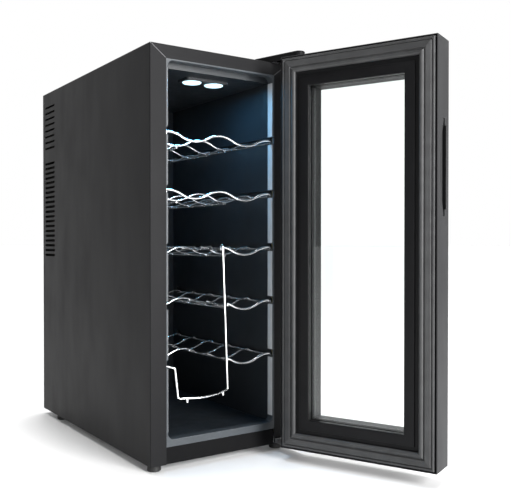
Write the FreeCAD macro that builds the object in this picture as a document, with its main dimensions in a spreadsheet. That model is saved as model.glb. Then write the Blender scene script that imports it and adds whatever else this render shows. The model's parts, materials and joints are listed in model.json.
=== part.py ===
import FreeCAD, Part
import math
import os
import re
import Sketcher

# Slim free-standing wine cooler with one glass door, standing on the floor with the door open.
# Frame: origin at the centre of the cabinet's footprint on the floor, +Z up, +X to the right
# of a person who faces the door side, and the door side looks along -Y. Millimetres.

DIMENSIONS = [
    ("cabinet_width", 252.0, "outside width of the steel wrap"),
    ("cabinet_depth", 479.0, "front flange to rear edge"),
    ("cabinet_top", 638.0, "height of the top sheet above the floor"),
    ("foot_height", 10.0, "floor to the underside of the cabinet"),
    ("sheet", 0.8, "thickness of the steel wrap"),
    ("bend", 1.6, "outside bend radius of the wrap"),
    ("stile", 26.5, "width of the side flanges of the front"),
    ("top_flange", 20.4, "height of the top flange of the front"),
    ("opening_half", 96.5, "half width of the storage space"),
    ("opening_floor", 47.0, "height of the floor of the storage space"),
    ("opening_ceiling", 615.0, "height of the top of the mouth"),
    ("ceiling", 606.0, "height of the ceiling of the storage space"),
    ("mouth_round", 10.0, "corner radius of the mouth"),
    ("collar_depth", 14.0, "depth of the light breaker strip round the mouth"),
    ("lip_bottom", 11.0, "height of the bottom face of the breaker strip"),
    ("liner_depth", 345.0, "front plane to the back wall of the storage space"),
    ("liner_wall", 2.0, "wall of the plastic liner"),
    ("foam_depth", 398.0, "front plane to the back of the foam"),
    ("first_shelf", 510.0, "height of the crests of the highest shelf"),
    ("shelf_pitch", 87.5, "distance from shelf to shelf"),
    ("groove_low", 5.15, "crest of a shelf to the floor of its groove"),
    ("groove_high", 6.0, "crest of a shelf to the top of its groove"),
    ("groove_reach", 102.5, "half width across the bottoms of two facing grooves"),
    ("rail_half", 96.9, "half distance between the side rails of a shelf"),
    ("wave_rise", 12.0, "crest to trough of a shelf wire"),
    ("wave_half", 46.0, "crest to trough along a shelf wire"),
    ("wire_front", 1.75, "radius of a front shelf wire"),
    ("wire_back", 1.5, "radius of the other shelf wires"),
    ("rail_wire", 1.8, "radius of a shelf's side rail"),
    ("guard_gap", 12.5, "centre line to the short front wires of the two lowest shelves"),
    ("wire_start", 8.0, "front plane to the first shelf wire"),
    ("wire_pitch", 62.0, "distance from shelf wire to shelf wire"),
    ("vent_length", 54.0, "length of a side vent slot"),
    ("vent_start", 412.0, "front plane to the front end of the vent slots"),
    ("door_width", 252.0, "door width"),
    ("door_bottom", 20.0, "height of the door's lower edge"),
    ("door_top", 632.5, "height of the door's upper edge"),
    ("door_thickness", 48.0, "door thickness"),
    ("door_gap", 4.0, "front flange to the closed door"),
    ("hinge_side", 10.0, "hinge axis to the door's hinge edge"),
    ("hinge_outer", 7.5, "hinge axis to the door's outer face"),
    ("door_open", 113.0, "angle at which the door stands open"),
    ("pin", 2.5, "radius of the hinge pins"),
    ("pin_fit", 0.06, "radial clearance of the hinge pins"),
    ("bush", 3.2, "outside radius of the hinge bushes"),
    ("frame_wall", 3.0, "side wall of the door frame"),
    ("glass_border", 49.0, "door edge to the clear glass"),
    ("pull_low", 390.0, "lower end of the finger pull"),
    ("pull_high", 508.5, "upper end of the finger pull"),
    ("rail_back", 10.0, "front plane to the back of the bottom rail"),
    ("foot_stud", 2.94, "radius of the studs of the feet"),
    ("foot_radius", 10.5, "radius of a foot"),
    ("foot_x", 112.5, "cabinet centre line to a foot"),
    ("front_foot", 15.5, "front plane to a front foot"),
    ("rear_foot", 407.0, "front plane to a rear foot"),
    ("hot_fan", 92.0, "size of the warm-side fan"),
    ("cold_fan", 80.0, "size of the cold-side fan"),
    ("cooler_z", 350.0, "height of the cooling unit's centre"),
]

doc = FreeCAD.newDocument("WineCooler")
sheet = doc.addObject("Spreadsheet::Sheet", "Dims")
VALUE = {}
for row, (alias, number, note) in enumerate(DIMENSIONS, 1):
    sheet.set(f"A{row}", note)
    sheet.set(f"B{row}", str(number))
    sheet.setAlias(f"B{row}", alias)
    VALUE[alias] = number
doc.recompute()
nodes = []


# ---------------------------------------------------------------- small modelling language

def bound(text):
    """Turn an expression in sheet names into one that FreeCAD can evaluate."""
    def named(match):
        word = match.group()
        return "Dims." + word if word in VALUE else word

    return re.sub(r"[a-z_]+", named, str(text))


def number(text):
    """Value of an expression in sheet names, for shapes that are built point by point."""
    names = re.sub(r"[a-z_]+", lambda m: str(VALUE[m.group()]), str(text))
    return float(FreeCAD.Units.Quantity(names).Value)


def back(distance):
    """Y of a plane that lies this far behind the front plane."""
    return f"({distance}) - cabinet_depth / 2"


def unique(name):
    return f"{name}_{len(doc.Objects)}"


def box(x, y, z):
    """Part::Box between pairs of expressions."""
    obj = doc.addObject("Part::Box", unique("box"))
    for size, axis, (low, high) in zip(("Length", "Width", "Height"), "xyz", (x, y, z)):
        obj.setExpression(size, bound(f"({high}) - ({low})"))
        obj.setExpression(f"Placement.Base.{axis}", bound(low))
    return obj


def cylinder(axis, radius, centre, span):
    """Part::Cylinder along x, y or z: centre gives the other two coordinates in order."""
    obj = doc.addObject("Part::Cylinder", unique("cylinder"))
    turn = {
        "x": FreeCAD.Rotation(FreeCAD.Vector(0, 1, 0), 90),
        "y": FreeCAD.Rotation(FreeCAD.Vector(1, 0, 0), -90),
        "z": FreeCAD.Rotation(),
    }[axis]
    obj.Placement = FreeCAD.Placement(FreeCAD.Vector(), turn)
    obj.setExpression("Radius", bound(radius))
    obj.setExpression("Height", bound(f"({span[1]}) - ({span[0]})"))
    place = dict(zip([a for a in "xyz" if a != axis], centre))
    place[axis] = span[0]
    for name, expression in place.items():
        obj.setExpression(f"Placement.Base.{name}", bound(expression))
    return obj


def fuse(parts):
    if len(parts) == 1:
        return parts[0]
    obj = doc.addObject("Part::MultiFuse", unique("fuse"))
    obj.Shapes = parts
    return obj


def cut(base, tools):
    obj = doc.addObject("Part::Cut", unique("cut"))
    obj.Base = base
    obj.Tool = fuse(tools)
    return obj


def common(first, second):
    obj = doc.addObject("Part::MultiCommon", unique("common"))
    obj.Shapes = [first, second]
    return obj


def fillet(base, radius, wanted):
    """Part::Fillet on the edges whose middle point the wanted function picks."""
    doc.recompute()
    obj = doc.addObject("Part::Fillet", unique("fillet"))
    obj.Base = base
    edges = []
    for index, edge in enumerate(base.Shape.Edges, 1):
        middle = edge.valueAt((edge.FirstParameter + edge.LastParameter) / 2)
        if wanted(middle, edge):
            edges.append((index, radius, radius))
    obj.Edges = edges
    return obj


def compound(parts):
    obj = doc.addObject("Part::Compound", unique("compound"))
    obj.Links = parts
    return obj


def shaped(shape):
    obj = doc.addObject("Part::Feature", unique("shape"))
    obj.Shape = shape
    return obj


def node(label, obj):
    """Register a finished sub-part under the name of its file."""
    obj.Label = label
    nodes.append(obj)
    return obj


def new_body(name):
    return doc.addObject("PartDesign::Body", name)


def plane_of(body, role):
    return [f for f in body.Origin.OriginFeatures if f.Role == role][0]


def new_sketch(body, role, lift="0"):
    """Sketch on one of the body's own origin planes, lifted along the plane's normal."""
    sketch = body.newObject("Sketcher::SketchObject", unique("sketch"))
    sketch.AttachmentSupport = [(plane_of(body, role), "")]
    sketch.MapMode = "FlatFace"
    sketch.setExpression("AttachmentOffset.Base.z", bound(lift))
    return sketch


def tie(sketch, kind, targets, expression):
    """Add one dimension to a sketch and bind it to the sheet."""
    index = sketch.addConstraint(Sketcher.Constraint(kind, *targets, number(expression)))
    sketch.setExpression(f"Constraints[{index}]", bound(expression))


def outline(sketch, points):
    """Closed polygon whose corners are bound to pairs of expressions."""
    spots = [FreeCAD.Vector(number(px), number(py), 0) for px, py in points]
    for index, spot in enumerate(spots):
        sketch.addGeometry(Part.LineSegment(spot, spots[(index + 1) % len(spots)]))
    for index in range(len(spots)):
        following = (index + 1) % len(spots)
        sketch.addConstraint(Sketcher.Constraint("Coincident", index, 2, following, 1))
    for index, (px, py) in enumerate(points):
        if number(px) == 0:
            sketch.addConstraint(Sketcher.Constraint("PointOnObject", index, 1, -2))
        else:
            tie(sketch, "DistanceX", (-1, 1, index, 1), px)
        if number(py) == 0:
            sketch.addConstraint(Sketcher.Constraint("PointOnObject", index, 1, -1))
        else:
            tie(sketch, "DistanceY", (-1, 1, index, 1), py)


def circle(sketch, centre, radius):
    """Circle whose centre and radius are bound to expressions."""
    spot = FreeCAD.Vector(number(centre[0]), number(centre[1]), 0)
    index = sketch.addGeometry(Part.Circle(spot, FreeCAD.Vector(0, 0, 1), number(radius)))
    tie(sketch, "Radius", (index,), radius)
    if number(centre[0]) == 0 and number(centre[1]) == 0:
        sketch.addConstraint(Sketcher.Constraint("Coincident", index, 3, -1, 1))
        return
    tie(sketch, "DistanceX", (-1, 1, index, 3), centre[0])
    tie(sketch, "DistanceY", (-1, 1, index, 3), centre[1])


def pad(body, sketch, length, flip=False):
    feature = body.newObject("PartDesign::Pad", unique("pad"))
    feature.Profile = sketch
    feature.setExpression("Length", bound(length))
    feature.Reversed = flip
    return feature


def pocket(body, sketch, length, flip=False):
    feature = body.newObject("PartDesign::Pocket", unique("pocket"))
    feature.Profile = sketch
    feature.setExpression("Length", bound(length))
    feature.Reversed = flip
    return feature


def revolve(body, sketch):
    feature = body.newObject("PartDesign::Revolution", unique("revolution"))
    feature.Profile = sketch
    feature.ReferenceAxis = (sketch, ["V_Axis"])
    feature.Angle = 360
    return feature


def row_of(body, feature, role, length, count):
    """Repeat a feature in a straight row along one of the body's axes."""
    pattern = body.newObject("PartDesign::LinearPattern", unique("row"))
    pattern.Originals = [feature]
    pattern.Direction = (plane_of(body, role), [""])
    pattern.setExpression("Length", bound(length))
    pattern.Occurrences = count
    body.Tip = pattern
    return pattern


def stand(obj, x, y, z):
    for axis, expression in zip("xyz", (x, y, z)):
        obj.setExpression(f"Placement.Base.{axis}", bound(expression))
    return obj


# ---------------------------------------------------------------- cabinet shell

def shell_block(margin, radius, overrun):
    """Block of the cabinet's outline with its front, top and side bends rounded."""
    edge = f"cabinet_width / 2 - {margin}"
    block = box((f"-({edge})", edge), (back(margin), back(f"cabinet_depth + {overrun}")),
                (f"foot_height - {overrun}", f"cabinet_top - {margin}"))
    front = number(back(margin))
    top = number(f"cabinet_top - {margin}")
    side = number(edge)

    def is_bend(middle, line):
        on_front = abs(middle.y - front) < 0.01
        on_top = abs(middle.z - top) < 0.01
        on_side = abs(abs(middle.x) - side) < 0.01
        return (on_front and (on_top or on_side)) or (on_top and on_side)

    return fillet(block, radius, is_bend)


def make_outer_wrap():
    skin = cut(shell_block("0", number("bend"), 0), [shell_block("sheet", number("bend - sheet"), 1)])
    mouth = box(("-cabinet_width / 2 + stile", "cabinet_width / 2 - stile"), (back("-1"), back("sheet + 1")),
                ("foot_height - 1", "cabinet_top - top_flange"))
    node("outer_wrap", cut(cut(skin, [mouth]), seam_cutters() + vent_cutters()))


SEAM = 0.35


def seam_cutters():
    """Mitre seams where the side flanges meet the top flange."""
    seams = []
    slope = math.degrees(math.atan2(number("top_flange"), number("stile")))
    depth = number("sheet + 2")
    for side in (-1, 1):
        corner = FreeCAD.Vector(side * number("cabinet_width / 2 - stile"), number(back("-1")),
                                number("cabinet_top - top_flange"))
        turn = FreeCAD.Rotation(FreeCAD.Vector(0, -1, 0), slope if side > 0 else 180 - slope)
        start = turn.multVec(FreeCAD.Vector(-1, 0, -SEAM / 2))
        seam = doc.addObject("Part::Box", unique("seam"))
        seam.Length, seam.Width, seam.Height = number("stile * 1.22"), depth, SEAM
        seam.Placement = FreeCAD.Placement(corner.add(start), turn)
        seams.append(seam)
    return seams


def vent_cutters():
    """Two groups of rounded horizontal slots, cut through both sides at once."""
    cutters = []
    for count, top, pitch, half in ((8, 609.0, 11.5, 2.0), (20, 498.0, 9.45, 2.4)):
        for index in range(count):
            z = top - pitch * index
            ends = (f"vent_start + {half}", f"vent_start + vent_length - {half}")
            span = ("-cabinet_width / 2 - 1", "cabinet_width / 2 + 1")
            cutters.append(box(span, (back(ends[0]), back(ends[1])), (z - half, z + half)))
            for end in ends:
                cutters.append(cylinder("x", half, (back(end), z), span))
    return cutters


def make_bottom_pan():
    half = "cabinet_width / 2 - sheet - 0.2"
    tray = box((f"-({half})", half), (back("rail_back + 0.2"), back("cabinet_depth - 1")),
               ("foot_height", "foot_height + 14"))
    inside = box((f"-({half}) + 1.5", f"{half} - 1.5"),
                 (back("rail_back + 1.7"), back("cabinet_depth - 2.5")),
                 ("foot_height + 1.5", "foot_height + 15"))
    holes = []
    for side in (-1, 1):
        for place in ("front_foot", "rear_foot"):
            centre = (f"{side} * foot_x", back(place))
            holes.append(cylinder("z", "foot_stud + 0.06", centre, ("foot_height - 1", "foot_height + 2")))
    node("bottom_pan", cut(tray, [inside] + holes))


def make_front_bottom_rail():
    edge = "cabinet_width / 2 - stile - 0.5"
    rail = box((f"-({edge})", edge), (back(1.4), back("rail_back")),
               ("foot_height", "opening_floor - lip_bottom - 0.4"))
    rounded = fillet(rail, 1.0, lambda middle, line: abs(middle.y - number(back(1.4))) < 0.01
                     and line.Length > 50)
    hollow = box((f"-({edge}) + 2", f"{edge} - 2"), (back(3.4), back("rail_back + 1")),
                 ("foot_height + 2", "opening_floor - lip_bottom - 2.4"))
    node("front_bottom_rail", cut(rounded, [hollow]))


def mouth_block(half, low, high, start, end):
    """Block across the mouth with its four long corners rounded."""
    block = box((f"-({half})", half), (back(start), back(end)), (low, high))
    length = number(f"{end} - ({start})")
    return fillet(block, number("mouth_round"), lambda middle, line: abs(line.Length - length) < 0.01)


def make_liner_collar():
    flange = box(("-cabinet_width / 2 + stile + 0.2", "cabinet_width / 2 - stile - 0.2"), (back(0), back(2)),
                 ("opening_floor - lip_bottom", "cabinet_top - top_flange - 0.2"))
    sleeve = box(("-opening_half - 5", "opening_half + 5"), (back(1.2), back("collar_depth")),
                 ("opening_floor - 5", "opening_ceiling + 2"))
    mouth = mouth_block("opening_half", "opening_floor", "opening_ceiling", "-1", "collar_depth + 1")
    ring = cut(fuse([flange, sleeve]), [mouth] + groove_blocks("opening_half + 2.5", 0, "-1", "4.5")
               + groove_blocks("groove_reach + 1", 0, "4", "collar_depth + 1"))
    front = number(back(0))
    half = number("opening_half")
    levels = (number("opening_floor"), number("opening_ceiling"))

    def is_mouth_edge(middle, line):
        on_side = abs(abs(middle.x) - half) < 0.01 and line.Length > 30
        on_level = any(abs(middle.z - level) < 0.01 for level in levels)
        return abs(middle.y - front) < 0.01 and (on_side or (on_level and line.Length > 100))

    node("liner_collar", fillet(ring, 1.2, is_mouth_edge))


def groove_blocks(reach, extra, start, end):
    """A block from side to side at every shelf level, taller by an extra above and below."""
    blocks = []
    for level in range(5):
        z = f"first_shelf - {level} * shelf_pitch"
        blocks.append(box((f"-({reach})", reach), (back(start), back(end)),
                          (f"{z} - groove_low - {extra}", f"{z} + groove_high + {extra}")))
    return blocks


def make_liner():
    front = "collar_depth + 0.2"
    wall = "liner_wall"
    skin = box((f"-opening_half - {wall}", f"opening_half + {wall}"),
               (back(front), back(f"liner_depth + {wall}")),
               (f"opening_floor - {wall}", f"ceiling + {wall}"))
    bulges = groove_blocks(f"groove_reach + {wall}", wall, front, "332")
    brow = box((f"-opening_half - {wall}", f"opening_half + {wall}"),
               (back(front), back("collar_depth + 1.8")),
               ("ceiling", "opening_ceiling + 2.2"))
    inside = box(("-opening_half", "opening_half"), (back(0), back("liner_depth")),
                 ("opening_floor", "ceiling"))
    grooves = groove_blocks("groove_reach", 0, 0, "330")
    window = box((-52, 52), (back(300), back(360)), ("cooler_z - 52", "cooler_z + 52"))
    lamp = box((-38, 38), (back(50), back(74)), ("ceiling - 1", "ceiling + 5"))
    node("liner", cut(fuse([skin, brow] + bulges), [inside, window, lamp] + grooves))


def make_foam():
    half = "cabinet_width / 2 - sheet - 0.2"
    block = box((f"-({half})", half), (back("collar_depth + 2"), back("foam_depth")),
                (25, "cabinet_top - sheet - 0.4"))
    room = box(("-opening_half - 2.3", "opening_half + 2.3"), (back(0), back("liner_depth + 2.3")),
               ("opening_floor - 2.3", "ceiling + 2.3"))
    grooves = groove_blocks("groove_reach + 2.3", 2.3, 0, "332.3")
    shaft = box((-56, 56), (back(300), back(420)), ("cooler_z - 56", "cooler_z + 56"))
    lamp = box((-40, 40), (back(48), back(76)), (580, "ceiling + 12"))
    collar = box(("-opening_half - 5.3", "opening_half + 5.3"), (back(0), back("collar_depth + 2.2")),
                 ("opening_floor - 5.3", "opening_ceiling + 2.3"))
    node("insulation_foam", cut(block, [room, shaft, lamp, collar] + grooves))


def make_rear_cover():
    half = "cabinet_width / 2 - sheet - 0.4"
    plate = box((f"-({half})", half), (back("cabinet_depth - 4"), back("cabinet_depth - 2.6")),
                ("foot_height + 15", "cabinet_top - sheet - 0.4"))
    through = (back("cabinet_depth - 6"), back("cabinet_depth"))
    fan = cylinder("y", "hot_fan / 2 - 3", (0, "cooler_z"), through)
    louvres = []
    for index in range(9):
        for group in (185, 520):
            z = group + 9 * index
            louvres.append(box((-70, 70), through, (z, z + 4)))
    inlet = box((56, 84.5), through, (40.5, 61.5))
    holes = [cylinder("y", 1.8, place, through) for place in cover_screws()]
    node("rear_cover", cut(plate, [fan, inlet] + louvres + holes))


def cover_screws():
    return [(side * 117, z) for side in (-1, 1) for z in (40, 230, 430, 620)]


def make_rear_cover_screws():
    screws = []
    for x, z in cover_screws():
        shank = cylinder("y", 1.5, (x, z), (back("cabinet_depth - 12"), back("cabinet_depth - 2.5")))
        head = cylinder("y", 3.6, (x, z), (back("cabinet_depth - 2.6"), back("cabinet_depth - 0.6")))
        screws.append(fuse([shank, head]))
    node("rear_cover_screws", compound(screws))


# ---------------------------------------------------------------- feet

def make_foot(label, side, place, stud_top):
    """Round foot turned on a lathe, with a stud through the bottom pan."""
    body = new_body(label + "_body")
    sketch = new_sketch(body, "XZ_Plane")
    outline(sketch, [(0, 0), ("foot_radius - 1.2", 0), ("foot_radius", 1.2), ("foot_radius - 0.6", 9.0),
                     (6.5, 9.4), ("foot_stud", 9.4), ("foot_stud", stud_top), (0, stud_top)])
    revolve(body, sketch)
    doc.recompute()
    node(label, stand(body, f"{side} * foot_x", back(place), 0))


def make_feet():
    make_foot("levelling_foot_left", -1, "front_foot", 22)
    make_foot("levelling_foot_right", 1, "front_foot", 22)
    make_foot("rear_foot_left", -1, "rear_foot", 14)
    make_foot("rear_foot_right", 1, "rear_foot", 14)


# ---------------------------------------------------------------- lamp and sensor

LAMP_X = 20.5


def make_lamp():
    """Ceiling lamp: a housing with two round lenses in front of two light-emitting chips."""
    housing = box((-39, 39), (back(44), back(80)), ("ceiling - 4.5", "ceiling - 0.1"))
    rounded = fillet(housing, 6.0, lambda middle, line: abs(line.Length - 4.4) < 0.01)
    spots = [(side * LAMP_X, back(62)) for side in (-1, 1)]
    seats = [cylinder("z", 15.8, spot, (599, 604.4)) for spot in spots]
    wires = box((-33, 33), (back(53), back(71)), ("ceiling - 2", "ceiling + 1"))
    node("lamp_housing", cut(rounded, seats + [wires]))
    lenses = []
    for spot in spots:
        disc = cylinder("z", 15.5, spot, (600.2, 604.2))
        lenses.append(fillet(disc, 2.0, lambda middle, line: abs(middle.z - 600.2) < 0.01))
    node("lamp_lenses", compound(lenses))
    board = box((-32, 32), (back(54), back(70)), (604.6, 606.2))
    chips = [box((x - 3, x + 3), (back(59), back(65)), (604.3, 604.7)) for x in (-LAMP_X, LAMP_X)]
    node("led_board", fuse([board] + chips))


def make_temperature_probe():
    stem = cylinder("z", 2.6, (72, back("liner_depth - 6")), (452, 478))
    ball = doc.addObject("Part::Sphere", unique("sphere"))
    ball.Radius = 2.6
    stand(ball, 72, back("liner_depth - 6"), 452)
    clip = box((68, 76), (back("liner_depth - 6"), back("liner_depth - 0.1")), (462, 470))
    node("temperature_probe", fuse([stem, ball, clip]))


# ---------------------------------------------------------------- thermoelectric cooling unit

def make_heat_sink(label, width, height, base, fin, count):
    """Extruded aluminium heat sink: a base plate and a row of fins, made lying on its back."""
    body = new_body(label + "_body")
    plate = new_sketch(body, "XY_Plane")
    outline(plate, [(0, 0), (width, 0), (width, height), (0, height)])
    pad(body, plate, base)
    doc.recompute()
    rib = new_sketch(body, "XY_Plane", f"{base} - 0.2")
    outline(rib, [(0, 0), (1.6, 0), (1.6, height), (0, height)])
    first = pad(body, rib, f"{fin} + 0.2")
    doc.recompute()
    row_of(body, first, "YZ_Plane", width - 1.6, count)
    doc.recompute()
    return body


def make_cooling_unit():
    cold = make_heat_sink("cold_sink", 100, 100, 5, 18, 17)
    cold.Placement = FreeCAD.Placement(FreeCAD.Vector(), FreeCAD.Rotation(FreeCAD.Vector(1, 0, 0), 90))
    node("cold_sink", stand(cold, -50, back(373), "cooler_z - 50"))
    hot = make_heat_sink("hot_sink", 104, 130, 6, 30, 21)
    hot.Placement = FreeCAD.Placement(FreeCAD.Vector(), FreeCAD.Rotation(FreeCAD.Vector(1, 0, 0), -90))
    node("hot_sink", stand(hot, -52, back(401), "cooler_z + 65"))
    chip = box((-20, 20), (back(373.1), back(376.9)), ("cooler_z - 20", "cooler_z + 20"))
    node("peltier_module", chip)
    bridge = box((-24, 24), (back(377), back(400.9)), ("cooler_z - 24", "cooler_z + 24"))
    node("heat_bridge", fillet(bridge, 3.0, lambda middle, line: abs(line.Length - 23.9) < 0.01))


def make_fan(prefix, size, start, depth, hub, blades):
    """Axial fan: square frame with a ring, hub and struts, and a rotor on its own axis."""
    half = f"{size} / 2"
    frame = box((f"-{half}", half), (back(start), back(f"{start} + {depth}")),
                (f"cooler_z - {half}", f"cooler_z + {half}"))
    rounded = fillet(frame, 5.0, lambda middle, line: abs(line.Length - depth) < 0.01)
    through = (back(start - 1), back(f"{start} + {depth} + 1"))
    duct = cylinder("y", f"{half} - 2.5", (0, "cooler_z"), through)
    corner = number(half) - 6
    holes = [cylinder("y", 2.2, (sx * corner, f"cooler_z + {sz * corner}"), through)
             for sx in (-1, 1) for sz in (-1, 1)]
    ring = cut(rounded, [duct] + holes)
    far = start + depth
    seat = cylinder("y", hub, (0, "cooler_z"), (back(far - 3), back(far)))
    strut_x = box((f"-{half} + 1", f"{half} - 1"), (back(far - 3), back(far)),
                  ("cooler_z - 2", "cooler_z + 2"))
    strut_z = box((-2, 2), (back(far - 3), back(far)),
                  (f"cooler_z - {half} + 1", f"cooler_z + {half} - 1"))
    axle = cylinder("y", 1.5, (0, "cooler_z"), (back(start + 2), back(far - 2)))
    node(prefix + "_fan_frame", fuse([ring, seat, strut_x, strut_z, axle]))

    tip = number(half) - 4
    chord = (depth - 6) * 1.35
    lean = FreeCAD.Placement(FreeCAD.Vector(hub - 3, 0, 0), FreeCAD.Rotation(FreeCAD.Vector(1, 0, 0), 48))
    centred = FreeCAD.Placement(FreeCAD.Vector(0, -0.8, -chord / 2), FreeCAD.Rotation())
    hub_middle = FreeCAD.Vector(0, number(back(start + 1.2 + (depth - 5) / 2)), number("cooler_z"))
    paddles = []
    for index in range(blades):
        paddle = doc.addObject("Part::Box", unique("blade"))
        paddle.Length, paddle.Width, paddle.Height = tip, 1.6, chord
        spin = FreeCAD.Rotation(FreeCAD.Vector(0, 1, 0), 360.0 / blades * index)
        paddle.Placement = FreeCAD.Placement(hub_middle, spin) * lean * centred
        paddles.append(paddle)
    sweep = cylinder("y", tip, (0, "cooler_z"), (back(start + 1.2), back(far - 3.8)))
    trimmed = common(fuse(paddles), sweep)
    drum = cylinder("y", hub, (0, "cooler_z"), (back(start + 0.8), back(far - 3.4)))
    bore = cylinder("y", 1.56, (0, "cooler_z"), (back(start + 1.7), back(far)))
    node(prefix + "_fan_rotor", cut(fuse([drum, trimmed]), [bore]))


def make_fan_guard():
    """Wire finger guard on the back: rings joined by two crossing spokes."""
    middle = number(back("cabinet_depth - 1.4"))
    height = number("cooler_z")
    rings = []
    for radius in (12, 22, 32, 42):
        ring = doc.addObject("Part::Torus", unique("torus"))
        ring.Radius1 = radius
        ring.Radius2 = 0.8
        ring.Placement = FreeCAD.Placement(FreeCAD.Vector(0, middle, height),
                                           FreeCAD.Rotation(FreeCAD.Vector(1, 0, 0), 90))
        rings.append(ring)
    spokes = []
    for angle in (45, 135):
        spoke = doc.addObject("Part::Cylinder", unique("spoke"))
        spoke.Radius = 0.9
        spoke.Height = 110
        turn = FreeCAD.Rotation(FreeCAD.Vector(0, 1, 0), angle)
        spoke.Placement = FreeCAD.Placement(FreeCAD.Vector(0, middle, height), turn) * FreeCAD.Placement(
            FreeCAD.Vector(0, 0, -55), FreeCAD.Rotation())
        spokes.append(spoke)
    node("fan_guard", fuse(rings + spokes))


def make_cold_cover():
    """Louvred cover over the cold-side fan on the back wall of the storage space."""
    outer = box((-68, 68), (back("liner_depth - 19"), back("liner_depth - 0.1")),
                ("cooler_z - 90", "cooler_z + 90"))
    face = number(back("liner_depth - 19"))
    rounded = fillet(outer, 3.0, lambda middle, line: abs(middle.y - face) < 0.01)
    inside = box((-66, 66), (back("liner_depth - 17"), back("liner_depth + 1")),
                 ("cooler_z - 88", "cooler_z + 88"))
    slots = []
    for count, start, half in ((9, -34, 36), (3, -80, 50), (3, 60, 50)):
        for index in range(count):
            z = f"cooler_z + {start} + {index} * 8"
            slots.append(box((-half, half), (back("liner_depth - 21"), back("liner_depth - 15")),
                             (z, f"{z} + 4")))
    node("cold_air_cover", cut(rounded, [inside] + slots))


# ---------------------------------------------------------------- electrics in the rear compartment

def make_electrics():
    board = box((-60, 60), (back(402), back(403.6)), (500, 590))
    parts = []
    for x, tall, z in (((-50, -30), 14.5, (515, 545)), ((-10, 14), 8.5, (520, 532)),
                       ((30, 52), 16.5, (550, 580)), ((-45, 25), 5.5, (574, 584))):
        parts.append(box(x, (back(403.5), back(403.5 + tall)), z))
    cans = [cylinder("y", 6, (x, 558), (back(403.5), back(424))) for x in (-20, -4)]
    posts = [cylinder("y", 2.5, (x, z), (back(398.1), back(402.1))) for x in (-55, 55) for z in (505, 585)]
    node("control_board", fuse([board] + parts + cans + posts))
    case = box((-70, 30), (back(400), back(438)), (60, 180))
    vents = [box((-60, 20), (back(436), back(440)), (z, z + 4)) for z in range(80, 170, 10)]
    inside = box((-68.5, 28.5), (back(401.5), back(436.5)), (61.5, 178.5))
    node("power_supply", cut(case, [inside] + vents))
    shell = box((56.5, 84), (back(452), back("cabinet_depth - 2.7")), (41, 61))
    face = box((46, 94), (back("cabinet_depth - 2.5"), back("cabinet_depth - 0.5")), (38, 64))
    socket = box((58.5, 82), (back(458), back("cabinet_depth")), (43, 59))
    blades = [box((70.25 + x - 1, 70.25 + x + 1), (back(457), back(471)), (51 + z - 2.5, 51 + z + 2.5))
              for x, z in ((-7, -1), (0, 3), (7, -1))]
    neck = box((56.5, 84), (back("cabinet_depth - 4"), back("cabinet_depth - 2")), (41, 61))
    through = (back("cabinet_depth - 4"), back("cabinet_depth"))
    bolts = [cylinder("y", 1.7, (x, 51), through) for x in (50, 90)]
    body = cut(fuse([shell, neck, face]), [socket] + bolts)
    node("power_inlet", fuse([body] + blades))


# ---------------------------------------------------------------- wire shelves

def wave_radius():
    rise = number("wave_rise") / 2
    step = number("wave_half") / 2
    return (step * step + rise * rise) / (2 * rise)


def wire_arcs(x_start, x_end):
    """Edges of a wavy wire: one arc for each crest, at even multiples of wave_half, or trough."""
    pitch = number("wave_half")
    rise = number("wave_rise") / 2
    radius = wave_radius()
    edges = []
    for index in range(round(x_start // pitch), round(x_end / pitch) + 1):
        middle = index * pitch
        low = max(middle - pitch / 2, x_start)
        high = min(middle + pitch / 2, x_end)
        if high - low < 0.01:
            continue
        away = 1 if index % 2 == 0 else -1
        centre_z = -rise + away * (rise - radius)
        spots = []
        for x in (low, (low + high) / 2, high):
            spots.append(FreeCAD.Vector(x, 0, centre_z + away * math.sqrt(radius ** 2 - (x - middle) ** 2)))
        edges.append(Part.Arc(*spots).toShape())
    return edges


def tube(edges, radius):
    """Solid round wire along a chain of tangent edges."""
    path = Part.Wire(edges)
    start = edges[0].valueAt(edges[0].FirstParameter)
    heading = edges[0].tangentAt(edges[0].FirstParameter)
    ring = Part.Wire([Part.Circle(start, heading, radius).toShape()])
    return path.makePipeShell([ring], True, False)


def rod(start, end, radius):
    return Part.makeCylinder(radius, start.distanceToPoint(end), start, end.sub(start))


def wavy_wire(y, x_start, x_end, radius):
    """Wavy wire whose crests lie at z = 0; an end near a side rail runs on straight to it."""
    reach = number("rail_half")
    solids = [tube(wire_arcs(x_start, x_end), radius)]
    for x in (x_start, x_end):
        if abs(x) > 60:
            solids.append(rod(FreeCAD.Vector(x, 0, 0), FreeCAD.Vector(math.copysign(reach, x), 0, 0), radius))
    whole = solids[0].multiFuse(solids[1:])
    whole.translate(FreeCAD.Vector(0, y, 0))
    return whole


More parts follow.
